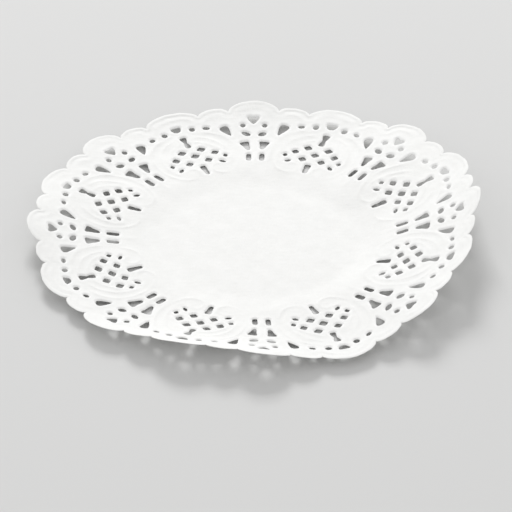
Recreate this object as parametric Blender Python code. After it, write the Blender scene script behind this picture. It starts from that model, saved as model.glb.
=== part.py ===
"""Paper doily, 140 mm across: one die-cut, embossed sheet of white paper.

A plain round centre lies flat. Round it runs a lace ring of eight lattice medallions with a fan
between each two, and the scalloped rim curls up off the surface, more on some sides than on others.
The underside of the centre is at z = 0 and its middle is the origin. Metres, +Z up.
"""
from collections import namedtuple
from math import atan2, cos, degrees, hypot, pi, radians, sin

import bmesh
import bpy
from mathutils import Vector
from mathutils.geometry import delaunay_2d_cdt

MM = 0.001

# Driving dimensions
RIM_RADIUS = 70 * MM      # to the peak of the largest scallops, measured along the sheet
FLAT_RADIUS = 30 * MM     # the plain centre, which lies on the surface
SHEET = 1 * MM            # thickness of the solid sheet
STAND = 0.4 * MM          # the embossed lace ring stands this far off the surface
STAND_REACH = 8 * MM      # and reaches that height this far from the flat centre
MARGIN = 14 * MM          # breadth of the rim's margin, which can turn up further
REPEATS = 8               # medallions, and fans

# How the lace ring curls up from the flat centre. towards is a direction in degrees from +X, lift the
# height of the rim there in mm, and lateness is 1 for an even slope and 4 for the rim's edge alone.
# upturn is how much further the margin turns up, in mm at the rim.
Curl = namedtuple("Curl", "towards lift lateness upturn", defaults=(0,))
CURLS = [
    Curl(towards=0, lift=13.5, lateness=1.2, upturn=3.0),
    Curl(towards=22.5, lift=10.2, lateness=1.2, upturn=0.9),
    Curl(towards=45, lift=7.0, lateness=1.2),
    Curl(towards=67.5, lift=2.9, lateness=2.8),
    Curl(towards=90, lift=3.2, lateness=4.0),
    Curl(towards=112.5, lift=2.1, lateness=4.4),
    Curl(towards=135, lift=3.1, lateness=2.2),
    Curl(towards=157.5, lift=4.5, lateness=1.3),
    Curl(towards=180, lift=7.2, lateness=2.2),
    Curl(towards=202.5, lift=3.2, lateness=2.1),
    Curl(towards=225, lift=3.9, lateness=3.5),
    Curl(towards=247.5, lift=7.8, lateness=2.8),
    Curl(towards=270, lift=7.1, lateness=2.8),
    Curl(towards=292.5, lift=2.5, lateness=3.7),
    Curl(towards=315, lift=8.2, lateness=1.5, upturn=0.8),
    Curl(towards=337.5, lift=11.4, lateness=1.2, upturn=2.4),
]

# The rim's scallops over one repeat, in degrees from a medallion's axis and mm from the centre
Scallop = namedtuple("Scallop", "start end peak cusp")
SCALLOPS = [
    Scallop(start=-7.5, end=7.5, peak=69.4, cusp=65.9),      # over a medallion
    Scallop(start=7.5, end=15.7, peak=68.0, cusp=65.9),
    Scallop(start=15.7, end=29.3, peak=70.0, cusp=65.9),     # over a fan
    Scallop(start=29.3, end=37.5, peak=68.0, cusp=65.9),
]
SCALLOP_STEPS = 8         # points along one scallop
SCALLOP_ROUNDNESS = 0.6   # 0.5 for a half ellipse, 1 for a flatter, pointed arc

# Holes, in mm and degrees. across and out place a hole's middle from the axis of its motif and from
# the doily's centre. wide and tall are its size, and turn leans it. power is 1 for a diamond, 2 for an
# oval and 4 for a slot. flare widens its outer end, pinch draws in its waist, and notch dents its
# outer end. Where across isn't 0, a mirrored hole lies on the other side of the axis.
Hole = namedtuple("Hole", "across out wide tall turn power flare pinch notch points",
                  defaults=(0, 2, 0, 0, 0, 8))
MEDALLION = [
    Hole(0, 62.0, 3.3, 2.5, power=3, flare=0.3),                           # middle of the arched row
    Hole(4.6, 60.8, 2.1, 2.0, points=6),
    Hole(9.0, 59.6, 2.4, 1.6, turn=-28, points=6),
    Hole(13.9, 56.1, 2.6, 4.7, turn=6, power=2.4, flare=0.5),              # wedge at the row's end
    Hole(0, 55.35, 2.8, 5.3, power=3, flare=0.12, pinch=0.62, points=14),  # bone over the lattice
    Hole(3.2, 50.5, 3.0, 2.7, power=1.3),                                  # lattice, outer row
    Hole(0, 47.6, 3.0, 2.8, power=1.3),                                    # middle row
    Hole(6.4, 47.6, 2.7, 2.7, power=1.3),
    Hole(3.15, 44.6, 2.9, 2.6, power=1.3),                                 # inner row
    Hole(8.6, 44.8, 1.8, 2.1, power=1.3, points=6),
    Hole(6.8, 42.2, 1.5, 2.6, turn=48, points=6),                          # slanted slits
    Hole(0, 40.1, 2.1, 4.6, power=3, flare=0.3),                           # slot under the lattice
]
FAN = [
    Hole(0, 62.1, 3.5, 3.6, flare=0.55, notch=0.7, points=12),             # heart at the rim
    Hole(3.4, 59.6, 1.9, 1.9, points=6),
    Hole(2.6, 55.6, 3.0, 2.0, turn=20),                                    # leaves
    Hole(2.6, 49.7, 2.7, 4.7, turn=-15, power=2.6, flare=0.55),            # long triangles
    Hole(1.95, 43.5, 1.8, 3.9, power=3.2),                                 # slots at the fan's foot
]

# Loose points, as radius and count, that let the sheet bend: in the centre, round it and in the margin
RINGS = [(FLAT_RADIUS / 2, 5), (FLAT_RADIUS, 45), (65 * MM, 64)]
SAME_POINT = 1e-7         # metres, points closer than this are one


def power_wave(value, power):
    """A cosine or sine, squared up or drawn in as on a superellipse of the given power."""
    return abs(value) ** (2 / power) * (1 if value >= 0 else -1)


def hole_loop(hole):
    """One hole's points about the axis of its motif, which runs along +Y."""
    lean = radians(hole.turn)
    first = 0.5 if hole.power > 2 else 0
    loop = []
    for step in range(hole.points):
        angle = 2 * pi * (step + first) / hole.points
        side = power_wave(cos(angle), hole.power)
        end = power_wave(sin(angle), hole.power)
        x = side * hole.wide / 2 * (1 + hole.flare * end) * (1 - hole.pinch * (1 - abs(end)))
        y = end * hole.tall / 2 - hole.notch * max(0.0, end) * (1 - abs(side))
        loop.append(((hole.across + x * cos(lean) - y * sin(lean)) * MM,
                     (hole.out + x * sin(lean) + y * cos(lean)) * MM))
    return loop


def turned(loop, angle):
    """Turns a loop from the axis +Y to the axis at the given angle from +X."""
    turn = angle - pi / 2
    return [(x * cos(turn) - y * sin(turn), x * sin(turn) + y * cos(turn)) for x, y in loop]


def motif_loops(holes, angle):
    """All holes of one motif, each with its mirrored twin, at the given angle."""
    loops = []
    for hole in holes:
        loop = hole_loop(hole)
        loops.append(turned(loop, angle))
        if hole.across:
            loops.append(turned([(-x, y) for x, y in reversed(loop)], angle))
    return loops


def hole_loops():
    loops = []
    for repeat in range(REPEATS):
        loops += motif_loops(MEDALLION, 2 * pi / REPEATS * (repeat + 0.5))
        loops += motif_loops(FAN, 2 * pi / REPEATS * repeat)
    return loops


def rim_loop():
    """The scalloped outline, anticlockwise, with a soft arc for each scallop."""
    loop = []
    for repeat in range(REPEATS):
        axis = 360 / REPEATS * (repeat + 0.5)
        for scallop in SCALLOPS:
            for step in range(SCALLOP_STEPS):
                along = step / SCALLOP_STEPS
                angle = radians(axis + scallop.start + along * (scallop.end - scallop.start))
                bulge = (1 - (2 * along - 1) ** 2) ** SCALLOP_ROUNDNESS
                radius = (scallop.cusp + (scallop.peak - scallop.cusp) * bulge) * MM
                loop.append((radius * cos(angle), radius * sin(angle)))
    return loop


def ring_points(radius, count):
    angles = [2 * pi * step / count for step in range(count)]
    return [(radius * cos(angle), radius * sin(angle)) for angle in angles]


def smooth_between(before, here, there, after, share):
    """A smooth curve through the values of four rows, read at a share of the way from here to there."""
    bend = 2 * before - 5 * here + 4 * there - after + share * (3 * (here - there) + after - before)
    return here + share / 2 * (there - before + share * bend)


def curl_at(angle):
    """Lift, lateness and upturn of the curl in one direction, in radians from +X. Metres."""
    row, share = divmod(degrees(angle) / CURLS[1].towards, 1)
    rows = [CURLS[(int(row) + step) % len(CURLS)] for step in (-1, 0, 1, 2)]
    _, *columns = zip(*rows)
    lift, lateness, upturn = (smooth_between(*column, share) for column in columns)
    return lift * MM, lateness, upturn * MM


def curled(x, y):
    """Where a point of the flat sheet's underside lies once the ring stands up and has curled.

    The sheet doesn't stretch, so what curls up is also drawn in a little towards the centre.
    """
    radius, angle = hypot(x, y), atan2(y, x)
    if radius <= FLAT_RADIUS:
        return x, y, 0.0
    span = RIM_RADIUS - FLAT_RADIUS
    outward = (radius - FLAT_RADIUS) / span
    lift, lateness, upturn = curl_at(angle)
    stood = min(1.0, (radius - FLAT_RADIUS) / STAND_REACH)
    edge = max(0.0, radius - RIM_RADIUS + MARGIN) / MARGIN
    upturned = upturn * edge ** 2
    height = STAND * stood * stood * (3 - 2 * stood) + lift * outward ** lateness + upturned
    slope = lift * lateness / span * outward ** (lateness - 1)
    radius -= slope ** 2 * span * outward / (4 * lateness - 2)
    radius -= slope * upturned + 2 * upturn ** 2 * edge ** 3 / (3 * MARGIN)
    return radius * cos(angle), radius * sin(angle), height


def flat_faces(outline, holes, loose):
    """Triangles that fill the flat outline but for the holes, and pass through the loose points."""
    points, loops = [], []
    for loop in [outline] + holes:
        loops.append(list(range(len(points), len(points) + len(loop))))
        points += loop
    inside_with_holes = 2
    verts, _, faces, *_ = delaunay_2d_cdt(
        [Vector(point) for point in points + loose], [], loops, inside_with_holes, SAME_POINT)
    return verts, faces


def paper():
    material = bpy.data.materials.new("paper")
    material.use_nodes = True
    shader = material.node_tree.nodes["Principled BSDF"]
    shader.inputs["Base Color"].default_value = (0.92, 0.92, 0.905, 1)
    shader.inputs["Roughness"].default_value = 0.85
    shader.inputs["Metallic"].default_value = 0
    return material


def doily():
    loose = [point for radius, count in RINGS for point in ring_points(radius, count)]
    verts, faces = flat_faces(rim_loop(), hole_loops(), loose)
    sheet = bmesh.new()
    corners = [sheet.verts.new(curled(vert.x, vert.y)) for vert in verts]
    for face in faces:
        sheet.faces.new([corners[index] for index in face])
    extruded = bmesh.ops.extrude_face_region(sheet, geom=sheet.faces[:])["geom"]
    top = [item for item in extruded if isinstance(item, bmesh.types.BMVert)]
    bmesh.ops.translate(sheet, verts=top, vec=(0, 0, SHEET))
    bmesh.ops.recalc_face_normals(sheet, faces=sheet.faces[:])
    mesh = bpy.data.meshes.new("doily")
    sheet.to_mesh(mesh)
    sheet.free()
    mesh.materials.append(paper())
    piece = bpy.data.objects.new("doily", mesh)
    bpy.context.scene.collection.objects.link(piece)


for old in list(bpy.data.objects):
    bpy.data.objects.remove(old)
doily()
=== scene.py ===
# Paper doily: a thin, embossed sheet of die-cut white paper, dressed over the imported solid.
# Lengths in the tables are in mm and angles in degrees. The frame and the finished mesh are in metres.
from math import ceil, cos, hypot, pi, radians, sin
from random import Random

import bpy
import numpy as np
from mathutils import Matrix, Vector, noise
from mathutils.geometry import delaunay_2d_cdt
from mathutils.kdtree import KDTree


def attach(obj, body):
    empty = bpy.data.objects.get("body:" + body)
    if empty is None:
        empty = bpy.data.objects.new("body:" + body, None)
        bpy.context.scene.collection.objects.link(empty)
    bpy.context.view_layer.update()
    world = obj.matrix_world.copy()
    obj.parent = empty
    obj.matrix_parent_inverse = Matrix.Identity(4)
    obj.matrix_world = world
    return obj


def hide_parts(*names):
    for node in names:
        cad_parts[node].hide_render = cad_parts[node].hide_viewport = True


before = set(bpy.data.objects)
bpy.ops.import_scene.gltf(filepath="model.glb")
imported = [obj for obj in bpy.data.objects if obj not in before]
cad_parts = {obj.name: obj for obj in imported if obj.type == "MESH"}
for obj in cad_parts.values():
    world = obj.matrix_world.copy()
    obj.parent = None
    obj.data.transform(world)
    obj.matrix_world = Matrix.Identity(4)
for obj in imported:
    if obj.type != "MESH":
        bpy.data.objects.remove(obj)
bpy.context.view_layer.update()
mm = 0.001

sheet = {
    "rimRadius": 70.0,       # to the peak of the largest scallops, measured along the paper
    "flatRadius": 30.0,      # of what lies flat on the table
    "margin": 14.0,          # breadth of the rim's margin, which can turn up further
    "laceRadius": 35.0,      # where the embossing starts
    "thickness": 0.13,       # of the paper, its embossing left out
    "lowest": 0.02,          # the underside comes no nearer to the table than this
    "repeats": 8,            # medallions, and fans
    "scallopPower": 0.6,     # 0.5 makes a scallop half an ellipse, 1 a flatter, pointed arc
}

# scallops of the rim over one repeat, in degrees from a medallion's axis
scallops = [
    dict(start=-7.5, end=7.5, peak=69.4, cusp=65.9),       # over a medallion
    dict(start=7.5, end=15.7, peak=68.0, cusp=65.9),
    dict(start=15.7, end=29.3, peak=70.0, cusp=65.9),      # over a fan
    dict(start=29.3, end=37.5, peak=68.0, cusp=65.9),
]


# across and out place a hole from its motif's axis and from the doily's centre. power 1 is a diamond,
# 2 an oval, 4 a slot. flare widens the outer end, pinch draws in the waist, notch dents the outer end
def hole(across, out, wide, tall, turn=0, power=2, flare=0, pinch=0, notch=0):
    return dict(across=across, out=out, wide=wide, tall=tall, turn=turn, power=power,
                flare=flare, pinch=pinch, notch=notch)


medallionHoles = [
    hole(0, 62.0, 3.1, 2.35, power=3.4, flare=0.35),               # middle of the arched row
    hole(4.6, 60.8, 1.9, 1.9, power=2.2),
    hole(9.0, 59.6, 2.15, 1.45, turn=-28, power=2.2),
    hole(13.9, 55.9, 2.2, 5.2, turn=6, power=2.6, flare=0.72),     # wedge at the row's end
    hole(0, 55.35, 2.7, 5.3, power=4, flare=0.12, pinch=0.62),     # bone over the lattice
    hole(3.2, 50.5, 2.9, 2.6, power=1.2),                          # lattice, outer row
    hole(0, 47.6, 3.0, 2.7, power=1.2),                            # middle row
    hole(6.4, 47.6, 2.6, 2.6, power=1.2),
    hole(3.15, 44.6, 2.8, 2.5, power=1.2),                         # inner row
    hole(8.6, 44.8, 1.6, 1.9, power=1.2),
    hole(6.8, 42.2, 1.25, 2.3, turn=48, power=1.6),                # slanted slits
    hole(0, 40.0, 1.9, 4.6, power=4, flare=0.25, pinch=0.15),      # slot under the lattice
]
fanHoles = [
    hole(0, 62.1, 3.3, 3.5, power=2.2, flare=0.6, notch=0.7),      # heart at the rim
    hole(3.4, 59.6, 1.8, 1.8, power=1.8),
    hole(2.6, 55.6, 2.9, 1.9, turn=20, power=1.8),                 # leaves
    hole(2.6, 49.7, 2.5, 4.6, turn=-15, power=4, flare=0.55, pinch=0.2),      # long triangles
    hole(1.95, 43.5, 1.55, 3.7, power=4),                          # slots at the fan's foot
]

# how unlike each other the cuts are
rough = {
    "size": 0.07,        # of a hole, as a share
    "place": 0.15,       # mm
    "lean": 4.0,         # degrees
    "cut": 0.07,         # mm, wander of a hole's edge
    "rim": 0.15,         # and of the rim's edge
    "waves": 0.55,       # of that wander, to a mm
    "fineWaves": 1.9,
    "cutSeed": 11,
    "seedStep": 0.7,     # from one hole to the next
    "rimSeed": 3,
    "holeSeed": 5,
}

# spacing of the mesh's points. More triangles come from smaller steps
meshing = {
    "holeSteps": 96,                 # points that a hole's outline is worked out from
    "scallopSteps": 48,              # and a scallop's
    "cutStep": 0.40,                 # between points along every cut edge
    "topRows": (0.3, 0.62, 0.96),    # rows beside every cut on top, this far from it
    "underRows": (0.45,),            # and on the underside
    "rowStep": 0.36,                 # along the rows on raised lines
    "topGrid": 0.66,                 # in the rest of the lace
    "underGrid": 0.90,               # in the lace's underside
    "gridReach": 71.0,               # that grid is laid out this far, then cut to the paper
    "gridClear": 0.62,               # and stays clear of the rows by this share of its spacing
    "centreGrid": 1.5,               # in the plain centre
    "centreGap": 0.8,                # between the two grids
    "clear": 0.24,                   # no two rows' points are closer than this
    "curveStep": 0.12,               # along a raised line's curve
    "nearStep": 0.15,                # along the cuts, where distances to them are measured
    "underReach": 0.65,              # share of its grid over which the underside stays below the top
    "samePoint": 1e-4,               # a point of the underside this near to one on top lies under it
    "tolerance": 1e-5,               # the triangulation takes points closer than this as one
}


def powerWave(value, power):
    return abs(value) ** (2 / power) * (1 if value >= 0 else -1)


def noiseAt(x, y, scale, seed):
    return noise.noise((x * scale, y * scale, seed))


# evenly spaced points round a closed loop
def resampled(loop, step):
    corners = np.array(loop + loop[:1])
    along = np.concatenate([[0], np.cumsum(np.hypot(*np.diff(corners, axis=0).T))])
    fewest = 8
    count = max(fewest, int(round(along[-1] / step)))
    places = np.linspace(0, along[-1], count, endpoint=False)
    return list(zip(np.interp(places, along, corners[:, 0]), np.interp(places, along, corners[:, 1])))


# one hole's outline about its motif's axis, which is along Y, with its own small faults
def holeLoop(h, draw):
    lean = radians(h["turn"] + rough["lean"] * draw.uniform(-1, 1))
    wide, tall = (h[key] * (1 + rough["size"] * draw.uniform(-1, 1)) for key in ("wide", "tall"))
    shiftX, shiftY = (rough["place"] * draw.uniform(-1, 1) for _ in range(2))
    loop = []
    for k in range(meshing["holeSteps"]):
        angle = 2 * pi * k / meshing["holeSteps"]
        side, end = powerWave(cos(angle), h["power"]), powerWave(sin(angle), h["power"])
        x = side * wide / 2 * (1 + h["flare"] * end) * (1 - h["pinch"] * (1 - abs(end)))
        y = end * tall / 2 - h["notch"] * max(0.0, end) * (1 - abs(side))
        loop.append((h["across"] + shiftX + x * cos(lean) - y * sin(lean),
                     h["out"] + shiftY + x * sin(lean) + y * cos(lean)))
    return loop


def mirrored(loop):
    return [(-x, y) for x, y in reversed(loop)]


# from the axis Y to the axis of a motif: half is 0.5 for a medallion and 0 for a fan
def turned(loop, repeat, half):
    turn = 2 * pi / sheet["repeats"] * (repeat + half) - pi / 2
    return [(x * cos(turn) - y * sin(turn), x * sin(turn) + y * cos(turn)) for x, y in loop]


def allHoles(step):
    draw = Random(rough["holeSeed"])
    loops = []
    for repeat in range(sheet["repeats"]):
        for holes, half in ((medallionHoles, 0.5), (fanHoles, 0)):
            for h in holes:
                loops.append(turned(holeLoop(h, draw), repeat, half))
                if h["across"]:
                    loops.append(turned(mirrored(holeLoop(h, draw)), repeat, half))
    return [resampled(loop, step) for loop in loops]


def rimLoop(step):
    loop = []
    for repeat in range(sheet["repeats"]):
        axis = 360 / sheet["repeats"] * (repeat + 0.5)
        for s in scallops:
            for k in range(meshing["scallopSteps"]):
                along = k / meshing["scallopSteps"]
                angle = radians(axis + s["start"] + along * (s["end"] - s["start"]))
                bulge = (1 - (2 * along - 1) ** 2) ** sheet["scallopPower"]
                radius = s["cusp"] + (s["peak"] - s["cusp"]) * bulge
                loop.append((radius * cos(angle), radius * sin(angle)))
    return resampled(loop, step)


# a cut edge isn't quite clean: each point moves a little across the paper
def wandering(loop, amount, seed):
    seeds = (seed, seed + 40)      # across and out move apart from each other
    moved = []
    for x, y in loop:
        dx, dy = (noiseAt(x, y, rough["waves"], key) + 0.5 * noiseAt(x, y, rough["fineWaves"], key)
                  for key in seeds)
        moved.append((x + amount * dx, y + amount * dy))
    return moved


emboss = {
    "line": 0.24,          # height of a raised line where it is strongest
    "lineWidth": 0.36,     # half its width
    "lineFade": 0.12,      # share of its length over which each end fades
    "band": 0.08,          # the band between a medallion's two outlines is pressed down by this
    "bandWidth": 0.9,
    "bandFade": 0.25,
    "rimLines": [dict(away=0.85, height=0.10, width=0.34), dict(away=1.6, height=-0.13, width=0.34),
                 dict(away=3.2, height=0.15, width=0.42)],
    "rimLinesFrom": 59.0,  # they and the rim's pressed edge lie outside this radius
    "rimWander": 0.25,     # and come this much nearer to the edge and further from it
    "cutClear": 0.2,       # no line comes this near to a cut
    "cutFade": 0.6,        # and it is whole again this much further off
    "lip": 0.10,           # paper stands up by this round every hole, and so the bars do
    "lipWidth": 0.6,
    "lipReach": 2.2,       # it is level again this far from the cut
    "cutDrop": 0.42,       # a hole's edge is pressed down by this
    "cutWidth": 0.80,      # over this distance
    "rimDrop": 0.16,       # and the rim's edge
    "rimWidth": 0.60,
    "worn": 0.85,          # how much of a line comes and goes
    "highlightWidth": 0.4,     # the bars beside a cut are painted whiter this far from it, a painted highlight
    "highlightReach": 1.1,     # and it is plain again this much further off
    "paintedHighlight": 0.75,       # how white that painted highlight is, as a share
    "highlightUneven": 0.5,    # and how much that varies
}

# smooth unevenness, as waves to a mm and a seed
patches = {
    "wear": (0.11, 31), "fineWear": (0.3, 33), "rimLine": (0.35, 41), "paintedHighlight": (0.2, 51),
    "bump": (0.085, 5), "fineBump": (0.21, 9), "dent": (0.16, 21), "crease": (0.16, 27),
}

# where the embossing is crisper than elsewhere
crispPlaces = [
    dict(x=-13.5, y=52.0, reach=6), dict(x=-47.0, y=8.0, reach=6), dict(x=-46.0, y=-26.0, reach=8),
    dict(x=-36.0, y=-14.0, reach=5), dict(x=-20.0, y=-33.0, reach=5), dict(x=19.0, y=-34.0, reach=5),
    dict(x=32.0, y=17.0, reach=5), dict(x=33.0, y=-14.0, reach=5), dict(x=49.0, y=-13.0, reach=6),
    dict(x=-24.0, y=62.0, reach=10), dict(x=44.0, y=50.0, reach=8), dict(x=-45.0, y=28.0, reach=5),
    dict(x=29.0, y=-42.0, reach=5), dict(x=-31.0, y=36.0, reach=5),
]

# raised lines beside a medallion's axis, as (across, out)
medallionLines = {
    "outline": dict(height=1.0, points=[
        (3.4, 58.4), (6.0, 58.0), (8.6, 57.0), (10.8, 55.2), (12.6, 52.4), (13.4, 48.8), (13.3, 45.0),
        (12.2, 41.6), (10.4, 39.0), (8.6, 37.1), (6.2, 36.2), (3.9, 36.6), (2.5, 38.0), (2.4, 39.8),
        (3.4, 41.1), (4.9, 41.1), (5.8, 40.1), (5.2, 39.0), (4.4, 39.4)]),
    "inner": dict(height=0.8, points=[
        (2.4, 57.0), (5.2, 56.0), (7.6, 54.2), (9.4, 51.4), (10.4, 48.2), (10.7, 45.0), (10.2, 42.3),
        (8.9, 40.2), (7.4, 39.0)]),
    "shell": dict(height=0.8, points=[(1.9, 54.5), (3.8, 53.7), (5.8, 52.1), (7.4, 50.3), (8.7, 48.0)]),
}
bandMiddle = [(4.4, 57.3), (7.4, 56.0), (9.8, 53.8), (11.4, 50.6), (12.0, 47.0), (11.9, 43.6)]
fanLines = {
    "stem": dict(height=0.7, points=[(0, 36.6), (0, 40.0), (0, 44.0), (0, 48.0), (0, 52.0)]),
}


# the value at a share of the way from here to there, on a smooth curve through all four
def smoothBetween(before, here, there, after, share):
    bend = 2 * before - 5 * here + 4 * there - after + share * (3 * (here - there) + after - before)
    return here + share / 2 * (there - before + share * bend)


# a smooth curve through the points, as closely spaced points
def smoothCurve(points, step):
    p = [points[0]] + list(points) + [points[-1]]
    curve = []
    for a, b, c, d in zip(p, p[1:], p[2:], p[3:]):
        count = max(2, int(hypot(c[0] - b[0], c[1] - b[1]) / step))
        for t in np.arange(count) / count:
            curve.append([smoothBetween(a[i], b[i], c[i], d[i], t) for i in (0, 1)])
    return np.array(curve + [list(points[-1])])


def softStep(value):
    value = np.clip(value, 0, 1)
    return value * value * (3 - 2 * value)


def noiseOver(x, y, patch):
    scale, seed = patches[patch]
    return np.array([noiseAt(a, b, scale, seed) for a, b in zip(x, y)])


# distance to a curve, and how far along it the nearest point is, from 0 to 1
def besideCurve(curve, x, y):
    away = np.zeros(x.shape)
    along = np.zeros(x.shape)
    atOnce = 4000      # points, to spare memory
    for start in range(0, len(x), atOnce):
        part = slice(start, start + atOnce)
        lengths = np.hypot(x[part, None] - curve[:, 0], y[part, None] - curve[:, 1])
        nearest = lengths.argmin(1)
        away[part] = lengths[np.arange(len(nearest)), nearest]
        along[part] = nearest / (len(curve) - 1)
    return away, along


# 1 along a line, and less towards its two ends
def fadedEnds(along, share):
    return softStep(np.minimum(along, 1 - along) / share)


# across (never negative) and out from the nearest medallion's or fan's axis
def folded(x, y, half):
    whole = 2 * pi / sheet["repeats"]
    angle = np.arctan2(y, x) / whole - half
    off = np.abs(angle - np.round(angle)) * whole
    radius = np.hypot(x, y)
    return radius * np.sin(off), radius * np.cos(off)


# height of the embossed lines alone
def lineRelief(x, y):
    z = np.zeros(x.shape)
    reach = 2      # mm, and a line has no height further off
    for lines, half in ((medallionLines, 0.5), (fanLines, 0)):
        across, out = folded(x, y, half)
        for line in lines.values():
            curve = smoothCurve(line["points"], meshing["curveStep"])
            (lowX, lowY), (highX, highY) = curve.min(0) - reach, curve.max(0) + reach
            close = np.nonzero((across > lowX) & (across < highX) & (out > lowY) & (out < highY))[0]
            away, along = besideCurve(curve, across[close], out[close])
            height = emboss["line"] * line["height"] * fadedEnds(along, emboss["lineFade"])
            z[close] = np.maximum(z[close], height * np.exp(-(away / emboss["lineWidth"]) ** 2))
    return z


# the band between a medallion's two outlines, as a share from 0 to 1
def bandShare(x, y):
    across, out = folded(x, y, 0.5)
    away, along = besideCurve(smoothCurve(bandMiddle, meshing["curveStep"]), across, out)
    return np.exp(-(away / emboss["bandWidth"]) ** 2) * fadedEnds(along, emboss["bandFade"])


def treeOf(points):
    tree = KDTree(len(points))
    for k, (x, y) in enumerate(points):
        tree.insert((x, y, 0), k)
    tree.balance()
    return tree


# how strong the embossing is, as a share: worn in patches, but whole in the crisp places
def crispness(x, y):
    wear = softStep(0.5 + noiseOver(x, y, "wear") + 0.5 * noiseOver(x, y, "fineWear"))
    for crisp in crispPlaces:
        wear *= 1 - np.exp(-((x - crisp["x"]) ** 2 + (y - crisp["y"]) ** 2) / crisp["reach"] ** 2)
    return 1 - emboss["worn"] * wear


# from each point to the nearest of the loops. Inside a radius they don't matter
def distances(loops, x, y, inside=0):
    tree = treeOf([p for loop in loops for p in resampled(loop, meshing["nearStep"])])
    far = 99.0
    return np.array([tree.find((a, b, 0))[2] if hypot(a, b) > inside else far for a, b in zip(x, y)])


# height of the embossing, and how strongly the paper beside the cuts gets the painted highlight, as a share
# from 0 to 1
def relief(flatX, flatY, rim, holes):
    z, paintedHighlight = np.zeros(flatX.shape), np.zeros(flatX.shape)
    before = 1      # mm, and the raised lines fade out over it
    lace = np.nonzero(np.hypot(flatX, flatY) > sheet["laceRadius"] - before)[0]
    x, y = flatX[lace], flatY[lace]
    strength = crispness(x, y)
    fromCut = distances(holes, x, y)
    fromRim = distances([rim], x, y, emboss["rimLinesFrom"])
    raised = strength * (lineRelief(x, y) - emboss["band"] * bandShare(x, y))
    lineAway = fromRim + emboss["rimWander"] * noiseOver(x, y, "rimLine")
    for line in emboss["rimLines"]:
        raised += strength * line["height"] * np.exp(-((lineAway - line["away"]) / line["width"]) ** 2)
    raised *= softStep((fromCut - emboss["cutClear"]) / emboss["cutFade"])
    lipFade = emboss["lipReach"] - emboss["lipWidth"]
    raised += emboss["lip"] * (1 - softStep((fromCut - emboss["lipWidth"]) / lipFade))
    raised -= emboss["cutDrop"] * np.clip(1 - fromCut / emboss["cutWidth"], 0, 1) ** 2
    raised -= emboss["rimDrop"] * np.clip(1 - fromRim / emboss["rimWidth"], 0, 1) ** 2
    z[lace] = raised
    # painted highlight: paper near the cuts is painted whiter, standing in for the light on the bars
    paintedHighlight[lace] = 1 - softStep((fromCut - emboss["highlightWidth"]) / emboss["highlightReach"])
    paintedHighlight[lace] *= emboss["paintedHighlight"] + emboss["highlightUneven"] * noiseOver(x, y, "paintedHighlight")
    return z, paintedHighlight


# height of the curled rim in each direction from +X. late is 1 for an even slope, 4 for the edge alone.
# upturn is how much further the margin turns up
curls = [
    dict(towards=0, lift=13.5, late=1.2, upturn=3.0), dict(towards=22.5, lift=10.2, late=1.2, upturn=0.9),
    dict(towards=45, lift=7.0, late=1.2), dict(towards=67.5, lift=2.9, late=2.8),
    dict(towards=90, lift=3.2, late=4.0), dict(towards=112.5, lift=2.1, late=4.4),
    dict(towards=135, lift=3.1, late=2.2), dict(towards=157.5, lift=4.5, late=1.3),
    dict(towards=180, lift=7.2, late=2.2), dict(towards=202.5, lift=3.2, late=2.1),
    dict(towards=225, lift=3.9, late=3.5), dict(towards=247.5, lift=7.8, late=2.8),
    dict(towards=270, lift=7.1, late=2.8), dict(towards=292.5, lift=2.5, late=3.7),
    dict(towards=315, lift=8.2, late=1.5, upturn=0.8), dict(towards=337.5, lift=11.4, late=1.2, upturn=2.4),
]


# places of the flat sheet's points once the ring has curled up. The paper doesn't stretch, so it is
# drawn in by what its slope takes
def curled(x, y):
    radius, angle = np.hypot(x, y), np.arctan2(y, x)
    row, share = np.divmod(np.degrees(angle) / curls[1]["towards"], 1)
    nearRows = [(row.astype(int) + step) % len(curls) for step in (-1, 0, 1, 2)]
    columns = [np.array([curl.get(key, 0) for curl in curls]) for key in ("lift", "late", "upturn")]
    lift, late, upturn = (smoothBetween(*[column[i] for i in nearRows], share) for column in columns)
    span = sheet["rimRadius"] - sheet["flatRadius"]
    outward = np.maximum(radius - sheet["flatRadius"], 0) / span
    edge = np.maximum(radius - sheet["rimRadius"] + sheet["margin"], 0) / sheet["margin"]
    upturned = upturn * edge ** 2
    slope = lift * late / span * outward ** (late - 1)
    drawn = radius - slope ** 2 * span * outward / (4 * late - 2)
    drawn -= slope * upturned + 2 * upturn ** 2 * edge ** 3 / (3 * sheet["margin"])
    return drawn * np.cos(angle), drawn * np.sin(angle), lift * outward ** late + upturned


waves = {
    "stand": 0.8,           # the embossed ring stands this far off the table
    "standFrom": 28.0,      # from this radius
    "standOver": 11.0,      # and is up after this distance
    "lace": 0.30,           # height of the ring's own unevenness
    "laceFrom": 33.0,
    "laceOver": 20.0,
    "centre": 0.09,         # and of the centre's
    "crease": 0.10,         # height of faint long creases across the centre
    "creaseStretch": 0.2,   # less makes them longer
}


def unevenness(x, y):
    radius = np.hypot(x, y)
    stand = waves["stand"] * softStep((radius - waves["standFrom"]) / waves["standOver"])
    ring = softStep((radius - waves["laceFrom"]) / waves["laceOver"])
    bumps = noiseOver(x, y, "bump") + 0.4 * noiseOver(x, y, "fineBump")
    dents = noiseOver(x, y, "dent")
    creases = noiseOver((x - y) * waves["creaseStretch"], x + y, "crease")
    centre = waves["centre"] * (dents + 0.5) + waves["crease"] * (creases + 0.5)
    return stand + waves["lace"] * ring * (bumps + 0.3) + (1 - ring) * centre


# where the points of the flat sheet's face lie once it is embossed and curled, in mm
def shaped(flat, rim, holes):
    x, y = flat.T
    height, paintedHighlight = relief(x, y, rim, holes)
    placeX, placeY, placeZ = curled(x, y)
    return np.column_stack([placeX, placeY, placeZ + height + unevenness(x, y)]), paintedHighlight


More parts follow.
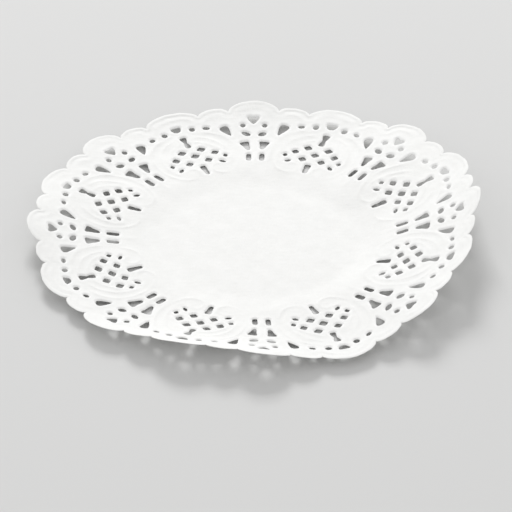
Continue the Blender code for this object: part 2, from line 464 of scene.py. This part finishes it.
# a row of points beside a curve, on its left for a positive distance
def beside(curve, distance, closed=True):
    row = []
    last = len(curve) - 1
    for k, (x, y) in enumerate(curve):
        ax, ay = curve[k - 1 if closed or k > 0 else 0]
        bx, by = curve[(k + 1) % len(curve) if closed else min(k + 1, last)]
        length = hypot(bx - ax, by - ay) or 1
        row.append((x - (by - ay) / length * distance, y + (bx - ax) / length * distance))
    return row


def cutRows(rim, holes, aways):
    rows = []
    for away in aways:
        rows += [beside(rim, away)] + [beside(loop, -away) for loop in holes]
    return rows


# rows of points along every raised line, so that its crest is crisp
def embossRows(rim):
    step = meshing["rowStep"]
    rows = []
    for line in emboss["rimLines"]:
        for away in (0, -line["width"], line["width"]):
            rows.append(resampled(beside(rim, line["away"] + away), step))
    for lines, half in ((medallionLines, 0.5), (fanLines, 0)):
        for line in lines.values():
            curve = [tuple(p) for p in smoothCurve(line["points"], step)]
            for away in (0, -emboss["lineWidth"], emboss["lineWidth"]):
                row = beside(curve, away, closed=False)
                for repeat in range(sheet["repeats"]):
                    rows += [turned(row, repeat, half), turned([(-x, y) for x, y in row], repeat, half)]
    return rows


def insideLoop(loop, x, y):
    within = np.zeros(x.shape, bool)
    corners = np.array(loop)
    for (ax, ay), (bx, by) in zip(corners, np.roll(corners, -1, axis=0)):
        crossing = (ay > y) != (by > y)
        with np.errstate(divide="ignore", invalid="ignore"):
            within ^= crossing & (x < (bx - ax) * (y - ay) / (by - ay) + ax)
    return within


# which points lie in the paper
def onPaper(x, y, rim, holes):
    paper = insideLoop(rim, x, y)
    for loop in holes:
        (lowX, lowY), (highX, highY) = np.min(loop, axis=0), np.max(loop, axis=0)
        close = np.nonzero((x > lowX) & (x < highX) & (y > lowY) & (y < highY))[0]
        paper[close] &= ~insideLoop(loop, x[close], y[close])
    return paper


# points of a grid of equal triangles
def hexGrid(spacing, reach):
    rowGap = spacing * 0.866      # height of such a triangle
    rows = int(ceil(reach / rowGap))
    columns = int(ceil(reach / spacing))
    column, row = np.meshgrid(np.arange(-columns, columns + 1), np.arange(-rows, rows + 1))
    return (column + 0.5 * (row % 2)).ravel() * spacing, row.ravel() * rowGap


def cellOf(x, y):
    return int(x // meshing["clear"]), int(y // meshing["clear"])


# adds the candidates that are clear of every point taken so far, which are kept by square cells
def takeClear(candidates, taken):
    added = []
    for x, y in candidates:
        column, row = cellOf(x, y)
        if all(hypot(x - a, y - b) >= meshing["clear"] for i in (-1, 0, 1) for j in (-1, 0, 1)
               for a, b in taken.get((column + i, row + j), ())):
            taken.setdefault((column, row), []).append((x, y))
            added.append((x, y))
    return added


# points and triangles of one face of the sheet before it is embossed and curled
def flatMesh(rim, holes, rows, grid):
    edges = rim + [p for loop in holes for p in loop]
    taken = {}
    for x, y in edges:
        taken.setdefault(cellOf(x, y), []).append((x, y))
    x, y = np.array([p for row in rows for p in row]).T
    paper = onPaper(x, y, rim, holes)
    loose = takeClear(zip(x[paper], y[paper]), taken)
    x, y = hexGrid(grid, meshing["gridReach"])
    paper = (np.hypot(x, y) > sheet["laceRadius"]) & onPaper(x, y, rim, holes)
    near = treeOf(edges + loose)
    gap = meshing["gridClear"] * grid
    loose += [(a, b) for a, b in zip(x[paper], y[paper]) if near.find((a, b, 0))[2] > gap]
    x, y = hexGrid(meshing["centreGrid"], sheet["laceRadius"])
    centre = np.hypot(x, y) < sheet["laceRadius"] - meshing["centreGap"]
    loose += list(zip(x[centre], y[centre]))
    points, loops = [], []
    for loop in [rim] + holes:
        loops.append(list(range(len(points), len(points) + len(loop))))
        points += loop
    insideWithHoles = 2
    verts, _, faces, *_ = delaunay_2d_cdt(
        [Vector(p) for p in points + loose], [], loops, insideWithHoles, meshing["tolerance"])
    return np.array([(v.x, v.y) for v in verts]), np.array(faces)


# the edges that one triangle alone uses, which run round the rim and the holes
def borderOf(faces):
    pairs = np.vstack([faces[:, [0, 1]], faces[:, [1, 2]], faces[:, [2, 0]]])
    _, first, uses = np.unique(np.sort(pairs, axis=1), axis=0, return_index=True, return_counts=True)
    return pairs[first[uses == 1]]


# in square metres, net of the holes
def flatArea(points, faces):
    a, b, c = (points[faces[:, k]] for k in range(3))
    (ux, uy), (vx, vy) = (b - a).T, (c - a).T
    return float(np.abs(ux * vy - uy * vx).sum() / 2 * mm * mm)


# the underside lies a paper's thickness below the lowest embossing of the top nearby
def underPlaces(flat, top, flatTop):
    tree = treeOf(flatTop)
    embossed = top[:, 2] - curled(*flatTop.T)[2]
    places = np.column_stack(curled(*flat.T))
    for k, (x, y) in enumerate(flat):
        grid = meshing["underGrid"] if hypot(x, y) > sheet["laceRadius"] else meshing["centreGrid"]
        _, nearest, away = tree.find((x, y, 0))
        close = []
        if away > meshing["samePoint"]:
            close = [index for _, index, _ in tree.find_range((x, y, 0), meshing["underReach"] * grid)]
        places[k, 2] += embossed[close or [nearest]].min() - sheet["thickness"]
    return places


paperLook = {
    "plain": (0.955, 0.955, 0.942),       # lightest and darkest of the faint clouds in plain paper
    "clouded": (0.872, 0.872, 0.858),
    "paintedHighlight": (0.955, 0.955, 0.946),     # the painted highlight: paper beside the cuts painted whiter
    "speck": (0.60, 0.59, 0.57),          # a few specks in the pulp
    "cloud": 220,           # size of the clouds, more is finer
    "cloudDetail": 4,
    "speckSpacing": 21,     # mm
    "speckSize": 0.22,      # mm
    "speckCore": 0.4,       # share of a speck that is fully dark
    "fibre": 900,           # size of the fibres that lie along Y, more is finer
    "fibreAcross": 1080,    # and along X
    "fibreWidth": 0.35,     # less makes them longer
    "fibreDetail": 3,
    "fibreHeight": 0.10,    # mm
    "grain": 3200,          # size of the felt between them
    "grainDetail": 2,
    "grainHeight": 0.035,   # mm
    "roughness": 0.82,
    "specular": 0.25,
}


def paperMaterial():
    material = bpy.data.materials.new("whitePaper")
    material.use_nodes = True
    nodes, links = material.node_tree.nodes, material.node_tree.links
    shader = nodes["Principled BSDF"]
    shader.inputs["Roughness"].default_value = paperLook["roughness"]
    shader.inputs["Specular IOR Level"].default_value = paperLook["specular"]
    place = nodes.new("ShaderNodeTexCoord")

    def noiseTexture(scale, detail, stretch=(1, 1, 1)):
        mapping = nodes.new("ShaderNodeMapping")
        mapping.inputs["Scale"].default_value = stretch
        links.new(place.outputs["Object"], mapping.inputs["Vector"])
        texture = nodes.new("ShaderNodeTexNoise")
        texture.inputs["Scale"].default_value = scale
        texture.inputs["Detail"].default_value = detail
        links.new(mapping.outputs["Vector"], texture.inputs["Vector"])
        return texture.outputs["Fac"]

    def colourMix(factor, first, second):
        mix = nodes.new("ShaderNodeMix")
        mix.data_type = "RGBA"
        links.new(factor, mix.inputs["Factor"])
        for socket, colour in (("A", first), ("B", second)):
            if isinstance(colour, tuple):
                mix.inputs[socket].default_value = (*colour, 1)
            else:
                links.new(colour, mix.inputs[socket])
        return mix.outputs["Result"]

    def bumpOf(height, distance, under=None):
        bump = nodes.new("ShaderNodeBump")
        bump.inputs["Strength"].default_value = 1
        bump.inputs["Distance"].default_value = distance * mm
        links.new(height, bump.inputs["Height"])
        if under:
            links.new(under, bump.inputs["Normal"])
        return bump.outputs["Normal"]

    cloudShare = noiseTexture(paperLook["cloud"], paperLook["cloudDetail"])
    clouds = colourMix(cloudShare, paperLook["clouded"], paperLook["plain"])
    # painted highlight: paper beside the cuts is painted whiter than the clouded paper
    paintedHighlight = nodes.new("ShaderNodeAttribute")
    paintedHighlight.attribute_name = "paintedHighlight"
    paper = colourMix(paintedHighlight.outputs["Fac"], clouds, paperLook["paintedHighlight"])
    cells = nodes.new("ShaderNodeTexVoronoi")
    cells.inputs["Scale"].default_value = 1 / (paperLook["speckSpacing"] * mm)
    links.new(place.outputs["Object"], cells.inputs["Vector"])
    specks = nodes.new("ShaderNodeMapRange")
    reach = paperLook["speckSize"] / paperLook["speckSpacing"]
    core = paperLook["speckCore"] * reach
    for socket, value in (("From Min", core), ("From Max", reach), ("To Min", 1), ("To Max", 0)):
        specks.inputs[socket].default_value = value
    links.new(cells.outputs["Distance"], specks.inputs["Value"])
    links.new(colourMix(specks.outputs["Result"], paper, paperLook["speck"]), shader.inputs["Base Color"])
    fibres = nodes.new("ShaderNodeMath")      # adds the fibres that lie one way to those that lie across
    width, detail = paperLook["fibreWidth"], paperLook["fibreDetail"]
    links.new(noiseTexture(paperLook["fibre"], detail, (1, width, 1)), fibres.inputs[0])
    links.new(noiseTexture(paperLook["fibreAcross"], detail, (width, 1, 1)), fibres.inputs[1])
    fibreNormal = bumpOf(fibres.outputs[0], paperLook["fibreHeight"])
    grain = noiseTexture(paperLook["grain"], paperLook["grainDetail"])
    grainNormal = bumpOf(grain, paperLook["grainHeight"], fibreNormal)
    links.new(grainNormal, shader.inputs["Normal"])
    return material


def placeKey(point):
    return round(point[0], 3), round(point[1], 3)


# one closed mesh of the top, the underside and the cut edges between them
def closedMesh(top, under, flatTop, flatUnder, topFaces, underFaces):
    count = len(top)
    below = {placeKey(p): k + count for k, p in enumerate(flatUnder)}
    border = borderOf(topFaces)
    walls = [(a, below[placeKey(flatTop[a])], below[placeKey(flatTop[b])], b) for a, b in border]
    polygons = topFaces.tolist() + (underFaces[:, ::-1] + count).tolist() + walls
    mesh = bpy.data.meshes.new("doilyPaper")
    mesh.from_pydata((np.vstack([top, under]) * mm).tolist(), [], polygons)
    mesh.validate()
    mesh.shade_smooth()
    cutEdges = np.sort(np.vstack([border, borderOf(underFaces) + count]), axis=1)
    cutEdges = set(map(tuple, cutEdges.tolist()))
    sharp = mesh.attributes.new("sharp_edge", "BOOLEAN", "EDGE")
    sharp.data.foreach_set("value", [tuple(sorted(edge.vertices)) in cutEdges for edge in mesh.edges])
    triangles = len(topFaces) + len(underFaces) + 2 * len(walls)
    print("doily:", len(mesh.vertices), "points,", triangles, "triangles")
    return mesh


def doilyPiece():
    step = meshing["cutStep"]
    rim = wandering(rimLoop(step), rough["rim"], rough["rimSeed"])
    holes = [wandering(loop, rough["cut"], rough["cutSeed"] + k * rough["seedStep"])
             for k, loop in enumerate(allHoles(step))]
    rows = cutRows(rim, holes, meshing["topRows"]) + embossRows(rim)
    flatTop, topFaces = flatMesh(rim, holes, rows, meshing["topGrid"])
    rows = cutRows(rim, holes, meshing["underRows"])
    flatUnder, underFaces = flatMesh(rim, holes, rows, meshing["underGrid"])
    print("cut sheet:", len(holes), "holes,", len(flatTop), "points on top and", len(flatUnder), "below")
    top, paintedHighlight = shaped(flatTop, rim, holes)
    top[:, 2] = np.maximum(top[:, 2], sheet["lowest"]) + sheet["thickness"]
    under = underPlaces(flatUnder, top, flatTop)
    print("embossed and curled: top from", round(top[:, 2].min(), 2), "to", round(top[:, 2].max(), 2), "mm")
    mesh = closedMesh(top, under, flatTop, flatUnder, topFaces, underFaces)
    # the painted highlight's share at each point on top, which the material reads
    highlightShare = mesh.attributes.new("paintedHighlight", "FLOAT", "POINT")
    highlightShare.data.foreach_set("value", np.concatenate([paintedHighlight, np.zeros(len(under))]))
    mesh.materials.append(paperMaterial())
    piece = bpy.data.objects.new("doilyPaper", mesh)
    bpy.context.scene.collection.objects.link(piece)
    return piece, flatArea(flatTop, topFaces)


doily, netArea = doilyPiece()
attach(doily, "root")
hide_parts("doily")
print("paper:", round(netArea, 5), "square metres")

studio = {
    "floor": (0.69, 0.69, 0.685),
    "floorRoughness": 0.9,
    "floorSize": 6.0,                                                # metres, as the places are
    "sky": 0.67,
    "key": dict(place=(-0.12, 1.3, 0.95), size=0.5, power=13.9),     # low, from behind
    "fill": dict(place=(-0.9, -0.9, 1.1), size=1.2, power=1.6),
}


def floorPiece():
    mesh = bpy.data.meshes.new("floor")
    half = studio["floorSize"] / 2
    corners = [(-half, -half, 0), (half, -half, 0), (half, half, 0), (-half, half, 0)]
    mesh.from_pydata(corners, [], [(0, 1, 2, 3)])
    material = bpy.data.materials.new("paleFloor")
    material.use_nodes = True
    shader = material.node_tree.nodes["Principled BSDF"]
    shader.inputs["Base Color"].default_value = (*studio["floor"], 1)
    shader.inputs["Roughness"].default_value = studio["floorRoughness"]
    mesh.materials.append(material)
    floor = bpy.data.objects.new("floor", mesh)
    bpy.context.scene.collection.objects.link(floor)


def areaLight(name, place, size, power):
    data = bpy.data.lights.new(name, "AREA")
    data.size = size
    data.energy = power
    light = bpy.data.objects.new(name, data)
    bpy.context.scene.collection.objects.link(light)
    aim = (-Vector(place)).to_track_quat("-Z", "Y").to_matrix().to_4x4()
    light.matrix_world = Matrix.Translation(place) @ aim


def lights():
    areaLight("keyLight", **studio["key"])
    areaLight("fillLight", **studio["fill"])
    world = bpy.data.worlds.new("studio")
    world.use_nodes = True
    world.node_tree.nodes["Background"].inputs["Color"].default_value = (1, 1, 1, 1)
    world.node_tree.nodes["Background"].inputs["Strength"].default_value = studio["sky"]
    bpy.context.scene.world = world
    bpy.context.scene.view_settings.view_transform = "Standard"


shot = {
    "azimuth": -1.66, "elevation": 34.86, "roll": 0.57,     # degrees, where the camera stands
    "target": (-0.00096, -0.00871, 0.0006),                 # metres, as the distances are
    "distance": 2.03,
    "farthest": 20,
    "lens": 479.1,
    "sensor": 36,
}


def mainCamera():
    azimuth, elevation, roll = (radians(shot[key]) for key in ("azimuth", "elevation", "roll"))
    back = Vector((sin(azimuth) * cos(elevation), -cos(azimuth) * cos(elevation), sin(elevation)))
    right = Vector((cos(azimuth), sin(azimuth), 0))
    up = back.cross(right)
    across = cos(roll) * right + sin(roll) * up
    upward = cos(roll) * up - sin(roll) * right
    data = bpy.data.cameras.new("camera")
    data.lens = shot["lens"]
    data.sensor_width = shot["sensor"]
    data.clip_end = shot["farthest"]
    camera = bpy.data.objects.new("camera", data)
    bpy.context.scene.collection.objects.link(camera)
    place = Vector(shot["target"]) + back * shot["distance"]
    camera.matrix_world = Matrix.Translation(place) @ Matrix((across, upward, back)).transposed().to_4x4()
    bpy.context.scene.camera = camera


floorPiece()
lights()
mainCamera()
print("floor, lights and camera are set")
